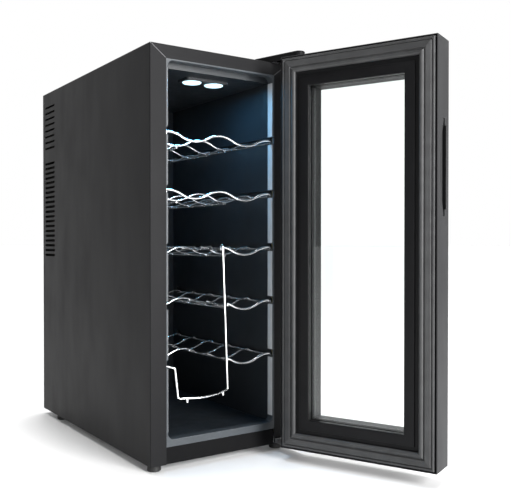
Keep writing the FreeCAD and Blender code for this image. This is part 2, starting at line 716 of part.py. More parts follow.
def shelf_shape(free_from=None):
    """Wire rack with its crests at z = 0. Its first two wires start at free_from, if that is given."""
    front = number(back("wire_start"))
    pitch = number("wire_pitch")
    edge = 2 * number("wave_half")
    reach = number("rail_half")
    side = number("rail_wire")
    thin = number("wire_back")
    thick = number("wire_front")
    last = front + 5 * pitch
    notched = free_from is not None
    free = 2 if notched else 0
    wires = []
    for index in range(6):
        radius = thick if index == 0 else thin
        left = free_from if index < free else -edge
        wires.append(wavy_wire(front + index * pitch, left, edge, radius))
    under = -(side + thin) + 0.25
    left_start = front + free * pitch
    bars = [rod(FreeCAD.Vector(reach, front - 2, under), FreeCAD.Vector(reach, last + 2, under), side),
            rod(FreeCAD.Vector(-reach, left_start - 2, under), FreeCAD.Vector(-reach, last + 2, under), side)]
    trough = -number("wave_rise") - 2 * thin + 0.25
    for sign in (-1, 1):
        start = max(left_start if sign < 0 else front + pitch, front + pitch)
        x = sign * number("wave_half")
        bars.append(rod(FreeCAD.Vector(x, start - 3, trough), FreeCAD.Vector(x, last + 3, trough), thin))
    if notched:
        sag = wave_radius() - math.sqrt(wave_radius() ** 2 - free_from ** 2)
        bars.append(rod(FreeCAD.Vector(free_from, front - 2, under - sag),
                        FreeCAD.Vector(free_from, left_start + 2, under - sag), thin))
    return wires[0].multiFuse(wires[1:] + bars)


def make_shelves():
    """Two full shelves, one that carries the bottle guard, and two whose short wires pass beside it."""
    full = shelf_shape()
    carrier = shelf_shape(0.0)
    beside = shelf_shape(number("guard_gap"))
    for level, shape in enumerate((full, full, carrier, beside, beside)):
        rack = shaped(shape.copy())
        rack.setExpression("Placement.Base.z", bound(f"first_shelf - {level} * shelf_pitch"))
        node(f"shelf_{level + 1}", rack)


def rounded_path(points, radii):
    """Straight runs joined by tangent arcs, one radius for each inner point."""
    edges = []
    here = points[0]
    for index, radius in enumerate(radii, 1):
        before, corner, after = points[index - 1], points[index], points[index + 1]
        back_way = before.sub(corner).normalize()
        on_way = after.sub(corner).normalize()
        half = math.acos(max(-1.0, min(1.0, back_way.dot(on_way)))) / 2
        reach = radius / math.tan(half)
        enter = corner.add(FreeCAD.Vector(back_way).multiply(reach))
        leave = corner.add(FreeCAD.Vector(on_way).multiply(reach))
        inward = back_way.add(on_way).normalize()
        centre = corner.add(inward.multiply(radius / math.sin(half)))
        middle = centre.add(corner.sub(centre).normalize().multiply(radius))
        edges.append(Part.LineSegment(here, enter).toShape())
        edges.append(Part.Arc(enter, middle, leave).toShape())
        here = leave
    edges.append(Part.LineSegment(here, points[-1]).toShape())
    return edges


def make_bottle_guard():
    """Wire hoop hooked over the third shelf's front wire, which keeps an upright bottle in place."""
    top = number("first_shelf - 2 * shelf_pitch")
    wire = number("wire_start")
    front = number(back(0))
    spots = [(3, wire + 3.4, top - 3), (3, wire + 3.4, top + 3.4), (3, wire - 3.4, top + 3.4),
             (3.4, wire - 3.4, top - 14), (10.2, 2.5, 111), (-11, -3.0, 106.5), (-42, -8.5, 105.5),
             (-80, -1.0, 107), (-84.5, 1.0, 153), (-97.6, 6.0, 157)]
    radii = (3.3, 3.3, 30, 4, 20, 60, 4, 4)
    points = [FreeCAD.Vector(x, front + depth, z) for x, depth, z in spots]
    hoop = tube(rounded_path(points, radii), number("wire_back"))
    nubs = []
    for x, depth, z in ((0, -0.15, 108.8), (-66, -3.8, 106.4)):
        foot = FreeCAD.Vector(x, front + depth, z)
        nubs.append(rod(foot, foot.add(FreeCAD.Vector(0, 0, -6)), 1.9))
    node("bottle_guard", shaped(hoop.multiFuse(nubs)))


# ---------------------------------------------------------------- hinges

HINGE_X = "cabinet_width / 2 - hinge_side"
HINGE_Y = back("-door_gap - door_thickness + hinge_outer")


def make_top_hinge():
    plate = box(("cabinet_width / 2 - 30", "cabinet_width / 2 - 2.8"), (back(2), back(30)),
                ("cabinet_top + 0.1", "cabinet_top + 2.6"))
    arm = box((f"{HINGE_X} - 6.8", f"{HINGE_X} + 7.2"), (HINGE_Y, back(4)),
              ("cabinet_top + 0.1", "cabinet_top + 2.6"))
    eye = cylinder("z", 7.2, (HINGE_X, HINGE_Y), ("cabinet_top + 0.1", "cabinet_top + 2.6"))
    hole = cylinder("z", "pin + 0.05", (HINGE_X, HINGE_Y), ("cabinet_top - 1", "cabinet_top + 4"))
    screws = [cylinder("z", 2.1, (x, y), ("cabinet_top - 1", "cabinet_top + 4")) for x, y in top_screws()]
    node("top_hinge_bracket", cut(fuse([plate, arm, eye]), [hole] + screws))
    make_hinge_cover()
    shank = cylinder("z", "pin", (HINGE_X, HINGE_Y), ("door_top - 11", "cabinet_top + 4"))
    head = cylinder("z", 5.0, (HINGE_X, HINGE_Y), ("cabinet_top + 2.7", "cabinet_top + 4.5"))
    node("top_hinge_pin", fuse([shank, head]))


def top_screws():
    return [("cabinet_width / 2 - 25", back(10)), ("cabinet_width / 2 - 25", back(24)),
            ("cabinet_width / 2 - 10", back(24))]


def make_hinge_cover():
    """Moulded cap over the top hinge: a tapering body with a round nose over the pin."""
    body = new_body("top_hinge_cover_body")
    nose = "hinge_side - 0.4"
    rear = "door_gap + door_thickness - hinge_outer + 34"
    plan = [(nose, 0), (nose, rear), (-32, rear), (f"-0.963 * ({nose})", f"-0.27 * ({nose})"), (0, 0)]
    base = new_sketch(body, "XY_Plane")
    outline(base, plan)
    pad(body, base, 10.5)
    doc.recompute()
    tip = new_sketch(body, "XY_Plane")
    circle(tip, (0, 0), nose)
    pad(body, tip, 10.5)
    doc.recompute()
    cap = body.Tip
    rim = [f"Edge{i}" for i, e in enumerate(cap.Shape.Edges, 1)
           if all(abs(v.Point.z - 10.5) < 0.01 for v in e.Vertexes)]
    soften = body.newObject("PartDesign::Fillet", unique("fillet"))
    soften.Base = (cap, rim)
    soften.Radius = 1.6
    doc.recompute()
    scale = "hinge_side - 2.4"
    hollow = new_sketch(body, "XY_Plane")
    outline(hollow, [(scale, 0), (scale, f"{rear} - 2"), (-29.5, f"{rear} - 2"),
                     (f"-0.963 * ({scale})", f"-0.27 * ({scale})"), (0, -1)])
    pocket(body, hollow, 8.6, True)
    doc.recompute()
    dome = new_sketch(body, "XY_Plane")
    circle(dome, (0, 0), scale)
    pocket(body, dome, 8.6, True)
    doc.recompute()
    node("top_hinge_cover", stand(body, HINGE_X, HINGE_Y, "cabinet_top + 0.3"))


def make_bottom_hinge():
    tongue = box((f"{HINGE_X} - 14", f"{HINGE_X} + 8.5"), (HINGE_Y, back(-0.1)), (12, 15))
    eye = cylinder("z", 8.5, (HINGE_X, HINGE_Y), (12, 15))
    leg = box((f"{HINGE_X} - 15", f"{HINGE_X} + 9"), (back(-2.6), back(-0.1)), (12, 19.4))
    web = box((f"{HINGE_X} - 14", f"{HINGE_X} - 11.5"), (back(-26), back(-0.1)), (12, 18.5))
    hole = cylinder("z", "pin + 0.05", (HINGE_X, HINGE_Y), (11, 16))
    screws = [cylinder("y", 1.7, (x, 17.2), (back(-4), back(2))) for x in bottom_screws()]
    node("bottom_hinge_bracket", cut(fuse([tongue, eye, leg, web]), [hole] + screws))
    shank = cylinder("z", "pin", (HINGE_X, HINGE_Y), (10.5, "door_bottom + 11"))
    collar = cylinder("z", 5.0, (HINGE_X, HINGE_Y), (9.5, 11.9))
    washer = cylinder("z", 5.2, (HINGE_X, HINGE_Y), (15.1, 19.6))
    node("bottom_hinge_pin", fuse([shank, collar, washer]))


def bottom_screws():
    return (f"{HINGE_X} - 6", f"{HINGE_X} + 5")


def make_hinge_screws():
    screws = []
    for x, y in top_screws():
        shank = cylinder("z", 1.9, (x, y), ("cabinet_top + 0.05", "cabinet_top + 2.8"))
        head = cylinder("z", 3.6, (x, y), ("cabinet_top + 2.7", "cabinet_top + 4.7"))
        screws.append(fuse([shank, head]))
    for x in bottom_screws():
        shank = cylinder("y", 1.5, (x, 17.2), (back(-2.8), back(-0.15)))
        head = cylinder("y", 2.1, (x, 17.2), (back(-3.7), back(-2.7)))
        screws.append(fuse([shank, head]))
    node("hinge_screws", compound(screws))


# ---------------------------------------------------------------- door, drawn closed about its hinge axis

def from_edge(distance):
    """X of a line this far from the door's hinge edge."""
    return f"hinge_side - ({distance})"


def from_inside(distance):
    """Y of a plane this far from the door's inner face, towards its outer face."""
    return f"door_thickness - hinge_outer - ({distance})"


def door_block(inset, near, far):
    """Block with the door's outline shrunk by an inset, between two depths."""
    return box((from_edge(f"door_width - ({inset})"), from_edge(inset)),
               (from_inside(far), from_inside(near)),
               (f"door_bottom + ({inset})", f"door_top - ({inset})"))


def door_ring(outer, inner, near, far):
    return cut(door_block(outer, near, far), [door_block(inner, f"{near} - 1", f"{far} + 1")])


def door_node(label, obj):
    """Swing a finished door piece open about the hinge axis."""
    if obj.TypeId == "Part::Box":
        obj = compound([obj])
    obj.setExpression("Placement.Base.x", bound(HINGE_X))
    obj.setExpression("Placement.Base.y", bound(HINGE_Y))
    obj.Placement.Rotation = FreeCAD.Rotation(FreeCAD.Vector(0, 0, 1), number("door_open"))
    obj.setExpression("Placement.Rotation.Angle", bound("door_open"))
    node(label, obj)


def free_side(depth):
    """X of a plane this deep below the door's free edge."""
    return f"hinge_side - door_width + ({depth})"


def make_door_frame():
    outside = door_block(0, 0, "door_thickness")
    rounded = fillet(outside, 1.2, lambda middle, line: line.Length > 200
                     or abs(line.Length - number("door_thickness")) < 0.01)
    seat = door_block("1.5", -1, 9.5)
    opening = door_block(43.2, -1, "door_thickness + 1")
    channel = cut(door_block("frame_wall", 11, 42), [door_block(41.7, 10, 43)])
    pane = door_block(1.5, 44, "door_thickness + 1")
    slot = box((free_side(-1), free_side(6)), (from_inside(36.4), from_inside(25.6)),
               ("pull_low - 1.1", "pull_high + 1.1"))
    bushes = [cylinder("z", "bush + 0.05", (0, 0), ("door_bottom - 1", "door_bottom + 14")),
              cylinder("z", "bush + 0.05", (0, 0), ("door_top - 14", "door_top + 1"))]
    window = box((from_edge(161), from_edge(91)), (from_inside(45), from_inside(41)),
                 ("door_top - 33", "door_top - 17"))
    node_shape = cut(rounded, [seat, opening, channel, pane, slot, scoop(), window] + bushes)
    door_node("door_frame", node_shape)


def scoop():
    """Shallow recess beside the finger pull, bounded by a long arc."""
    half = number("pull_high - pull_low") / 2 + 10
    bulge = 12.0
    radius = (half * half + bulge * bulge) / (2 * bulge)
    middle = number("pull_high + pull_low") / 2
    centre_depth = 10.5 + radius
    disc = cylinder("x", radius, (from_inside(centre_depth), middle), (free_side(-1), free_side(2.4)))
    window = box((free_side(-2), free_side(3)), (from_inside(30), from_inside(8)),
                 (middle - half, middle + half))
    return common(disc, window)


def make_door_core():
    ring = door_ring("frame_wall + 0.2", 41.5, 11.2, 41.8)
    cup = box((free_side(0), free_side(13.5)), (from_inside(37), from_inside(25)),
              ("pull_low - 2", "pull_high + 2"))
    bushes = [cylinder("z", "bush + 0.3", (0, 0), ("door_bottom - 1", "door_bottom + 14")),
              cylinder("z", "bush + 0.3", (0, 0), ("door_top - 14", "door_top + 1"))]
    board = box((from_edge(178), from_edge(74)), (from_inside(43), from_inside(36)),
                ("door_top - 39", "door_top - 11"))
    door_node("door_core", cut(ring, [cup, board] + bushes))


def make_handle_cup():
    outer = box((free_side(0.1), free_side(12.5)), (from_inside(36.3), from_inside(25.7)),
                ("pull_low - 1", "pull_high + 1"))
    inner = box((free_side(-1), free_side(11.5)), (from_inside(35.3), from_inside(26.7)),
                ("pull_low", "pull_high"))
    door_node("handle_cup", cut(outer, [inner, scoop()]))


def make_door_glass():
    door_node("door_outer_glass", door_block(1.7, 44.1, "door_thickness - 0.1"))
    door_node("door_inner_glass", door_block(43.5, 9.6, 12.8))
    ring = door_ring(43.6, "glass_border", 13, 43.9)
    door_node("glass_spacer", ring)


def make_door_inner_frame():
    ring = door_ring(3.6, "glass_border", 0.05, 9.4)
    groove = cut(door_block(27, -1, 3), [door_block(33.5, -2, 4)])
    channel = cut(door_block(12.9, -1, 4.4), [door_block(16.1, -2, 5)])
    back_hollow = cut(door_block(6, 6, 10), [door_block(46, 5, 11)])
    door_node("door_inner_frame", cut(ring, [groove, channel, back_hollow]))


def make_door_gasket():
    base = door_ring(3.8, 26.8, -1.0, 0)
    lip = door_ring(3.8, 7.2, -2.8, -0.9)
    band = door_ring(8.6, 17.6, -3.2, -0.9)
    bead = door_ring(19.2, 26.6, -3.7, -0.9)
    dart = door_ring(13.0, 16.0, -0.9, 4)
    magnet = cut(door_block(20.4, -2.9, -0.9), [door_block(25.4, -3, 0)])
    door_node("door_gasket", cut(fuse([base, lip, band, bead, dart]), [magnet]))
    door_node("gasket_magnet", door_ring(20.6, 25.2, -2.8, -1.0))


def make_door_fittings():
    for label, low, high in (("hinge_bush_top", "door_top - 13", "door_top - 0.1"),
                             ("hinge_bush_bottom", "door_bottom + 0.1", "door_bottom + 13")):
        sleeve = cylinder("z", "bush", (0, 0), (low, high))
        bore = cylinder("z", "pin + pin_fit", (0, 0), (f"{low} - 1", f"{high} + 1"))
        door_node(label, cut(sleeve, [bore]))
    board = box((from_edge(176), from_edge(76)), (from_inside(41), from_inside(39.4)),
                ("door_top - 37", "door_top - 13"))
    digits = box((from_edge(150), from_edge(102)), (from_inside(43.6), from_inside(40.9)),
                 ("door_top - 31.5", "door_top - 18.5"))
    door_node("display_board", fuse([board, digits]))
    stop = cylinder("z", 4.0, (-20, 16.5), (15.6, "door_bottom - 0.05"))
    door_node("door_stop", fillet(stop, 1.2, lambda middle, line: abs(middle.z - 15.6) < 0.01))


# ---------------------------------------------------------------- assembly

make_outer_wrap()
make_bottom_pan()
make_front_bottom_rail()
make_liner_collar()
make_liner()
make_foam()
make_rear_cover()
make_rear_cover_screws()
make_feet()
make_lamp()
make_temperature_probe()
make_cooling_unit()
make_fan("hot", "hot_fan", 440, 25, 18, 7)
make_fan("cold", "cold_fan", 329, 15, 15, 7)
make_fan_guard()
make_cold_cover()
make_electrics()
make_shelves()
make_bottle_guard()
make_top_hinge()
make_bottom_hinge()
make_hinge_screws()
make_door_frame()
make_door_core()
make_handle_cup()
make_door_glass()
make_door_inner_frame()
make_door_gasket()
make_door_fittings()
doc.recompute()

for obj in doc.Objects:
    if "Invalid" in obj.State or "Error" in obj.State:
        raise RuntimeError(f"{obj.Name} ({obj.Label}) failed to compute")
os.makedirs("parts", exist_ok=True)
for obj in nodes:
    shape = obj.Shape
    if shape.isNull() or not shape.isValid() or shape.Volume <= 0 or not shape.Solids:
        raise RuntimeError(f"{obj.Label} has no valid solid")
for obj in nodes:
    obj.Shape.exportStep(f"parts/{obj.Label}.step")
    print(f"{obj.Label}: {len(obj.Shape.Solids)} solid(s), {obj.Shape.Volume / 1000:.2f} cm3")
print(len(nodes), "nodes")
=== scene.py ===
import json
import math

import bmesh
import bpy
from mathutils import Matrix, Vector


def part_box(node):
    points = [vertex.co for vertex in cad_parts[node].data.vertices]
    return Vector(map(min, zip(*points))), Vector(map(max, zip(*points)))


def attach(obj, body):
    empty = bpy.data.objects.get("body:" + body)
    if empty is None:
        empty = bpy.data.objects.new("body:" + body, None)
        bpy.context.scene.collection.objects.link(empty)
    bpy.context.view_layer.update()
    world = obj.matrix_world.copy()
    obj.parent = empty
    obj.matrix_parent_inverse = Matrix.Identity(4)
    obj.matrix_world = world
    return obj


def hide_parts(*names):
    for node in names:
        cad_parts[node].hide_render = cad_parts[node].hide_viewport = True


# Looks of a slim wine cooler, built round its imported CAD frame. Metres, +Z up, the door side looks along -Y.

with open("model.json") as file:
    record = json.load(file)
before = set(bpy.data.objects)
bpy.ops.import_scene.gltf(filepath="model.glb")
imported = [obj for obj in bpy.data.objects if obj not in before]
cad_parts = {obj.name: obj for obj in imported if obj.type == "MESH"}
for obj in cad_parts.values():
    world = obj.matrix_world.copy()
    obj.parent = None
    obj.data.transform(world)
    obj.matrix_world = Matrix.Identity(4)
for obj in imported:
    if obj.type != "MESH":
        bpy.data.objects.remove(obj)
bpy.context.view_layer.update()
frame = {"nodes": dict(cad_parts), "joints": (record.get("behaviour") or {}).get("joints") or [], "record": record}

MM = 0.001
scene = bpy.context.scene
joints = {joint["name"]: joint for joint in frame["joints"]}

# ---------------------------------------------------------------- door's own frame
# Door pieces are drawn with the door shut and the hinge axis at x = y = 0, then swung open with it.

HINGE = Vector(joints["door_hinge"]["pos_m"])
DOOR_OPEN = math.radians(-joints["door_hinge"]["range_deg"][0])
DOOR_PLACE = Matrix.Translation((HINGE.x, HINGE.y, 0)) @ Matrix.Rotation(DOOR_OPEN, 4, "Z")


def shut_box(node):
    """Lowest and highest corner of a door node in the door's own frame."""
    undo = DOOR_PLACE.inverted()
    points = [undo @ vertex.co for vertex in frame["nodes"][node].data.vertices]
    low = Vector(min(p[axis] for p in points) for axis in range(3))
    high = Vector(max(p[axis] for p in points) for axis in range(3))
    return low, high


DOOR_LOW, DOOR_HIGH = shut_box("door_frame")
GLASS_BACK = DOOR_HIGH.y - shut_box("door_outer_glass")[1].y   # depth of the outer pane's inner face


# ---------------------------------------------------------------- material helpers

def new_material(name):
    material = bpy.data.materials.new(name)
    material.use_nodes = True
    return material, material.node_tree, material.node_tree.nodes["Principled BSDF"]


def noise(tree, size, detail=3.0, stretch=(1, 1, 1), kind="ShaderNodeTexNoise"):
    """Cloudy or cellular pattern whose blobs are about this many metres across."""
    place = tree.nodes.new("ShaderNodeTexCoord")
    mapping = tree.nodes.new("ShaderNodeMapping")
    mapping.inputs["Scale"].default_value = stretch
    pattern = tree.nodes.new(kind)
    pattern.inputs["Scale"].default_value = 1 / size
    pattern.inputs["Detail"].default_value = detail
    tree.links.new(place.outputs["Object"], mapping.inputs["Vector"])
    tree.links.new(mapping.outputs["Vector"], pattern.inputs["Vector"])
    return pattern.outputs[0]


def spread(tree, value, low, high, start=0.3, end=0.7):
    """Stretch a pattern's middle range over the range from low to high."""
    remap = tree.nodes.new("ShaderNodeMapRange")
    for name, number in (("From Min", start), ("From Max", end), ("To Min", low), ("To Max", high)):
        remap.inputs[name].default_value = number
    tree.links.new(value, remap.inputs["Value"])
    return remap.outputs["Result"]


def blend_colours(tree, factor, first, second):
    mix = tree.nodes.new("ShaderNodeMix")
    mix.data_type = "RGBA"
    mix.inputs["A"].default_value = (*first, 1)
    mix.inputs["B"].default_value = (*second, 1)
    tree.links.new(factor, mix.inputs["Factor"])
    return mix.outputs["Result"]


def relief(tree, shader, layers):
    """Bump made of several height patterns, each with its depth in metres."""
    normal = None
    for height, depth in layers:
        bump = tree.nodes.new("ShaderNodeBump")
        bump.inputs["Strength"].default_value = 1.0
        bump.inputs["Distance"].default_value = depth
        tree.links.new(height, bump.inputs["Height"])
        if normal is not None:
            tree.links.new(normal, bump.inputs["Normal"])
        normal = bump.outputs["Normal"]
    tree.links.new(normal, shader.inputs["Normal"])


def shade(colour, factor):
    return tuple(min(1.0, channel * factor) for channel in colour)


def painted(name, colour, rough, specular=0.3, peel=0.00002):
    """Powder-coated sheet steel: fine orange peel, slow tone changes and faint handling smears."""
    material, tree, shader = new_material(name)
    tone = noise(tree, 0.12, 4)
    tree.links.new(blend_colours(tree, spread(tree, tone, 0, 1), shade(colour, 0.93), shade(colour, 1.07)),
                   shader.inputs["Base Color"])
    smear = noise(tree, 0.035, 6, (1, 1, 0.35))
    tree.links.new(spread(tree, smear, rough - 0.04, rough + 0.05), shader.inputs["Roughness"])
    shader.inputs["Specular IOR Level"].default_value = specular
    relief(tree, shader, [(noise(tree, 0.0013, 2), peel), (noise(tree, 0.00035, 1), peel * 0.35)])
    return material


def plastic(name, colour, rough, specular=0.35, grain=0.000025, size=0.0006):
    """Injection-moulded plastic with a spark-eroded grain."""
    material, tree, shader = new_material(name)
    tone = noise(tree, 0.05, 3)
    tree.links.new(blend_colours(tree, spread(tree, tone, 0, 1), shade(colour, 0.92), shade(colour, 1.08)),
                   shader.inputs["Base Color"])
    tree.links.new(spread(tree, noise(tree, 0.02, 5), rough - 0.05, rough + 0.05), shader.inputs["Roughness"])
    shader.inputs["Specular IOR Level"].default_value = specular
    cells = noise(tree, size, 1, kind="ShaderNodeTexVoronoi")
    relief(tree, shader, [(cells, grain), (noise(tree, size * 6, 3), grain * 0.8)])
    return material


def rubber(name, colour, rough):
    """Soft extruded vinyl: dull, with faint lengthwise drag lines and bloom."""
    material, tree, shader = new_material(name)
    bloom = noise(tree, 0.018, 6)
    tree.links.new(blend_colours(tree, spread(tree, bloom, 0, 1), shade(colour, 0.85), shade(colour, 1.2)),
                   shader.inputs["Base Color"])
    drag = noise(tree, 0.006, 4)
    tree.links.new(spread(tree, drag, rough - 0.06, rough + 0.08), shader.inputs["Roughness"])
    shader.inputs["Specular IOR Level"].default_value = 0.4
    relief(tree, shader, [(noise(tree, 0.0025, 3), 0.00006), (noise(tree, 0.0005, 2), 0.00002)])
    return material


def metal(name, colour, rough, stretch=(1, 1, 1), line=0.0004, depth=0.000006):
    """Bare or plated metal; a stretched pattern gives it a brushed or drawn grain."""
    material, tree, shader = new_material(name)
    cloud = noise(tree, 0.02, 5)
    tree.links.new(blend_colours(tree, spread(tree, cloud, 0, 1), shade(colour, 0.9), shade(colour, 1.03)),
                   shader.inputs["Base Color"])
    shader.inputs["Metallic"].default_value = 1.0
    grain = noise(tree, line, 3, stretch)
    tree.links.new(spread(tree, grain, rough * 0.75, rough * 1.35), shader.inputs["Roughness"])
    relief(tree, shader, [(grain, depth)])
    return material


def glass(name, tint):
    """Clear float glass that lets lamp light through, with very faint smears in its gloss."""
    material, tree, shader = new_material(name)
    shader.inputs["Base Color"].default_value = (*tint, 1)
    shader.inputs["Transmission Weight"].default_value = 1.0
    shader.inputs["IOR"].default_value = 1.45
    tree.links.new(spread(tree, noise(tree, 0.04, 6), 0.0, 0.03), shader.inputs["Roughness"])
    clear = tree.nodes.new("ShaderNodeBsdfTransparent")
    clear.inputs["Color"].default_value = (*shade(tint, 0.95), 1)
    path = tree.nodes.new("ShaderNodeLightPath")
    choose = tree.nodes.new("ShaderNodeMixShader")
    tree.links.new(path.outputs["Is Shadow Ray"], choose.inputs["Fac"])
    tree.links.new(shader.outputs["BSDF"], choose.inputs[1])
    tree.links.new(clear.outputs["BSDF"], choose.inputs[2])
    tree.links.new(choose.outputs["Shader"], tree.nodes["Material Output"].inputs["Surface"])
    return material


def glowing(name, colour, strength, rough=0.4):
    """Lit surface with a finely pebbled skin that scatters the light."""
    material, tree, shader = new_material(name)
    shader.inputs["Base Color"].default_value = (*shade(colour, 0.8), 1)
    shader.inputs["Emission Color"].default_value = (*colour, 1)
    shader.inputs["Emission Strength"].default_value = strength
    tree.links.new(spread(tree, noise(tree, 0.01, 3), rough - 0.05, rough + 0.05), shader.inputs["Roughness"])
    relief(tree, shader, [(noise(tree, 0.0015, 1, kind="ShaderNodeTexVoronoi"), 0.00008)])
    return material


def circuit(name):
    """Green board lacquer with paler tracks and speckled solder."""
    material, tree, shader = new_material(name)
    tracks = noise(tree, 0.004, 1, (1, 1, 0.2), "ShaderNodeTexVoronoi")
    tree.links.new(blend_colours(tree, spread(tree, tracks, 0, 1, 0.35, 0.45), (0.012, 0.11, 0.045),
                                 (0.02, 0.2, 0.08)), shader.inputs["Base Color"])
    tree.links.new(spread(tree, noise(tree, 0.003, 3), 0.2, 0.4), shader.inputs["Roughness"])
    relief(tree, shader, [(tracks, 0.00006)])
    return material


def foam(name):
    """Cream rigid foam with open cells."""
    material, tree, shader = new_material(name)
    cells = noise(tree, 0.0018, 2, kind="ShaderNodeTexVoronoi")
    mixed = blend_colours(tree, spread(tree, cells, 0, 1, 0.1, 0.6), (0.42, 0.36, 0.2), (0.75, 0.68, 0.46))
    tree.links.new(mixed, shader.inputs["Base Color"])
    tree.links.new(spread(tree, noise(tree, 0.01, 3), 0.8, 0.95), shader.inputs["Roughness"])
    relief(tree, shader, [(cells, 0.0004)])
    return material


BLACK = (0.0045, 0.0045, 0.005)
finish = {
    "cabinet_paint": painted("cabinet_paint", (0.0115, 0.0115, 0.0122), 0.4, 0.06),
    "door_paint": painted("door_paint", (0.02, 0.02, 0.0212), 0.4, 0.08),
    "rear_paint": painted("rear_paint", (0.02, 0.02, 0.021), 0.5, 0.3),
    "galvanised": metal("galvanised", (0.55, 0.56, 0.57), 0.38, line=0.008, depth=0.00001),
    "rail_plastic": plastic("rail_plastic", (0.004, 0.004, 0.0044), 0.5, 0.06),
    # Collar colour kept dark against the pale side strips: partly a real two-tone, partly painted shade on the
    # collar's front and underside.
    "collar_plastic": plastic("collar_plastic", (0.04, 0.046, 0.052), 0.38, grain=0.000015),
    "liner_plastic": plastic("liner_plastic", (0.016, 0.019, 0.022), 0.36),
    "foam": foam("foam"),
    "chrome_wire": metal("chrome_wire", (0.9, 0.91, 0.92), 0.2, (1, 1, 1), 0.0012, 0.000012),
    "black_plastic": plastic("black_plastic", BLACK, 0.4, 0.14),
    "gasket_rubber": rubber("gasket_rubber", (0.034, 0.0345, 0.0355), 0.5),
    "magnet": rubber("magnet", (0.02, 0.02, 0.02), 0.7),
    "outer_glass": glass("outer_glass", (0.96, 0.985, 0.98)),
    "inner_glass": glass("inner_glass", (0.97, 0.99, 0.985)),
    "aluminium": metal("aluminium", (0.76, 0.77, 0.78), 0.32, (0.15, 1, 1), 0.0004, 0.00002),
    "spacer_metal": metal("spacer_metal", (0.02, 0.02, 0.021), 0.5, (1, 1, 0.1), 0.0006, 0.00001),
    "hinge_steel": metal("hinge_steel", (0.34, 0.34, 0.35), 0.35, (0.3, 1, 1), 0.0008, 0.00002),
    "hinge_cap": plastic("hinge_cap", (0.008, 0.008, 0.0085), 0.5, 0.1),
    "screw_steel": metal("screw_steel", (0.6, 0.6, 0.61), 0.25, line=0.0006),
    "foot_rubber": rubber("foot_rubber", (0.011, 0.011, 0.011), 0.6),
    "lamp_white": plastic("lamp_white", (0.02, 0.022, 0.025), 0.4),
    "lens": glowing("lens", (0.6, 0.9, 1.0), 1.5),
    "board_green": circuit("board_green"),
    "ceramic_white": plastic("ceramic_white", (0.7, 0.7, 0.67), 0.6),
    "fan_black": plastic("fan_black", (0.012, 0.012, 0.0125), 0.4),
    "brass_bush": plastic("brass_bush", (0.25, 0.235, 0.18), 0.45),
}

for part in frame["record"]["subparts"]:
    for material_slot in frame["nodes"][part["node"]].material_slots:
        material_slot.material = finish[part["material_slot"]]


# ---------------------------------------------------------------- mesh helpers

def finished(name, mesh, slot, body, place=None, sharp=40, material=None):
    """Turn a bmesh into a piece with its finish, riding on a body."""
    bmesh.ops.recalc_face_normals(mesh, faces=mesh.faces)
    data = bpy.data.meshes.new(name)
    mesh.to_mesh(data)
    mesh.free()
    if place is not None:
        data.transform(place)
    data.polygons.foreach_set("use_smooth", [True] * len(data.polygons))
    data.set_sharp_from_angle(angle=math.radians(sharp))
    data.materials.append(material or finish[slot])
    piece = bpy.data.objects.new(name, data)
    scene.collection.objects.link(piece)
    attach(piece, body)
    return piece


def rounded(corners, steps=5):
    """Closed outline from (x, y, radius) corners, each one turned into an arc of a few steps."""
    outline = []
    for index, (x, y, radius) in enumerate(corners):
        here = Vector((x, y))
        before = (Vector(corners[index - 1][:2]) - here).normalized()
        after = (Vector(corners[(index + 1) % len(corners)][:2]) - here).normalized()
        half = before.angle(after) / 2
        if radius == 0 or half > math.radians(89):
            outline.append(here)
            continue
        reach = radius / math.tan(half)
        centre = here + (before + after).normalized() * radius / math.sin(half)
        first = here + before * reach - centre
        turn = first.angle_signed(here + after * reach - centre)
        for step in range(steps + 1):
            outline.append(centre + Matrix.Rotation(-turn * step / steps, 2) @ first)
    return outline


BEAD_HALF = 0.9 * MM         # half width of the bead along a welded mitre


def mitred_ring(name, outline, slot, weld=0.0, replaces=()):
    """Frame round the door from an outline of (distance from the door's edge, depth below the inner face).

    With a weld, the mitres get a small raised bead of that height beside their seams.
    """
    mesh = bmesh.new()
    corners = [(1, 1), (-1, 1), (-1, -1), (1, -1)]
    ways = [(-1, 0), (0, -1), (1, 0), (0, 1)]
    sections = []
    for index, (side, level) in enumerate(corners):
        arriving, leaving = ways[index - 1], ways[index]
        for way, lift in ((arriving, 0.0), (None, weld), (leaving, 0.0)):
            if way is not None and weld == 0:
                continue
            ring = []
            for inset, depth in outline:
                x = (DOOR_HIGH.x if side > 0 else DOOR_LOW.x) - side * inset
                z = (DOOR_HIGH.z if level > 0 else DOOR_LOW.z) - level * inset
                if way is not None:
                    sign = -1 if way == arriving else 1
                    x += sign * way[0] * BEAD_HALF
                    z += sign * way[1] * BEAD_HALF
                ring.append(mesh.verts.new((x, DOOR_HIGH.y - depth + (lift if depth < 0 else 0), z)))
            sections.append(ring)
    for index, ring in enumerate(sections):
        following = sections[(index + 1) % len(sections)]
        for spot in range(len(ring)):
            nxt = (spot + 1) % len(ring)
            mesh.faces.new((ring[spot], ring[nxt], following[nxt], following[spot]))
    piece = finished(name, mesh, slot, "door", DOOR_PLACE)
    if replaces:
        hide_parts(*replaces)
    return piece


def scaled(corners):
    return [(x * MM, y * MM, radius * MM) for x, y, radius in corners]


# ---------------------------------------------------------------- door seal, inner frame and glazing

